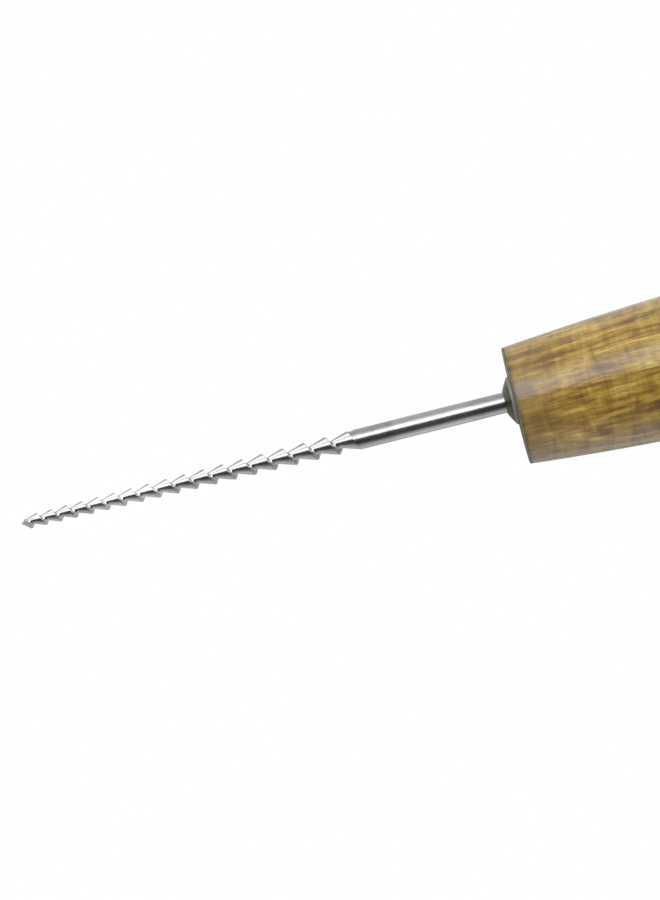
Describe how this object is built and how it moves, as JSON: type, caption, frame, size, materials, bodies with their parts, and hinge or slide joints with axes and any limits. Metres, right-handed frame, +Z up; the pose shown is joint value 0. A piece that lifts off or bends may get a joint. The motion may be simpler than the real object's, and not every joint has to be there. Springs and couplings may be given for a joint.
{
  "type": "bookbinding awl",
  "caption": "Hand awl with a slim steel blade cut with a right-hand spiral saw tooth, a small dark collar and a turned wooden handle.",
  "frame": {"origin": "middle of the awl's length, on the table that it lies on, below the handle's axis", "axes": "+X along the awl from the blade's point to the handle's butt, +Y across, towards the side the blade is off centre, +Z up"},
  "size_m": [0.1484, 0.018, 0.018],
  "materials": {
    "handle_wood": "golden brown hardwood under gloss varnish",
    "blade_steel": "bright polished steel",
    "collar_metal": "glossy dark grey metal with a lighter rim",
    "adhesive": "cured amber epoxy"
  },
  "bodies": {
    "root": {"handle": "handle_wood", "blade": "blade_steel", "collar": "collar_metal", "tang_adhesive": "adhesive"}
  },
  "joints": []
}
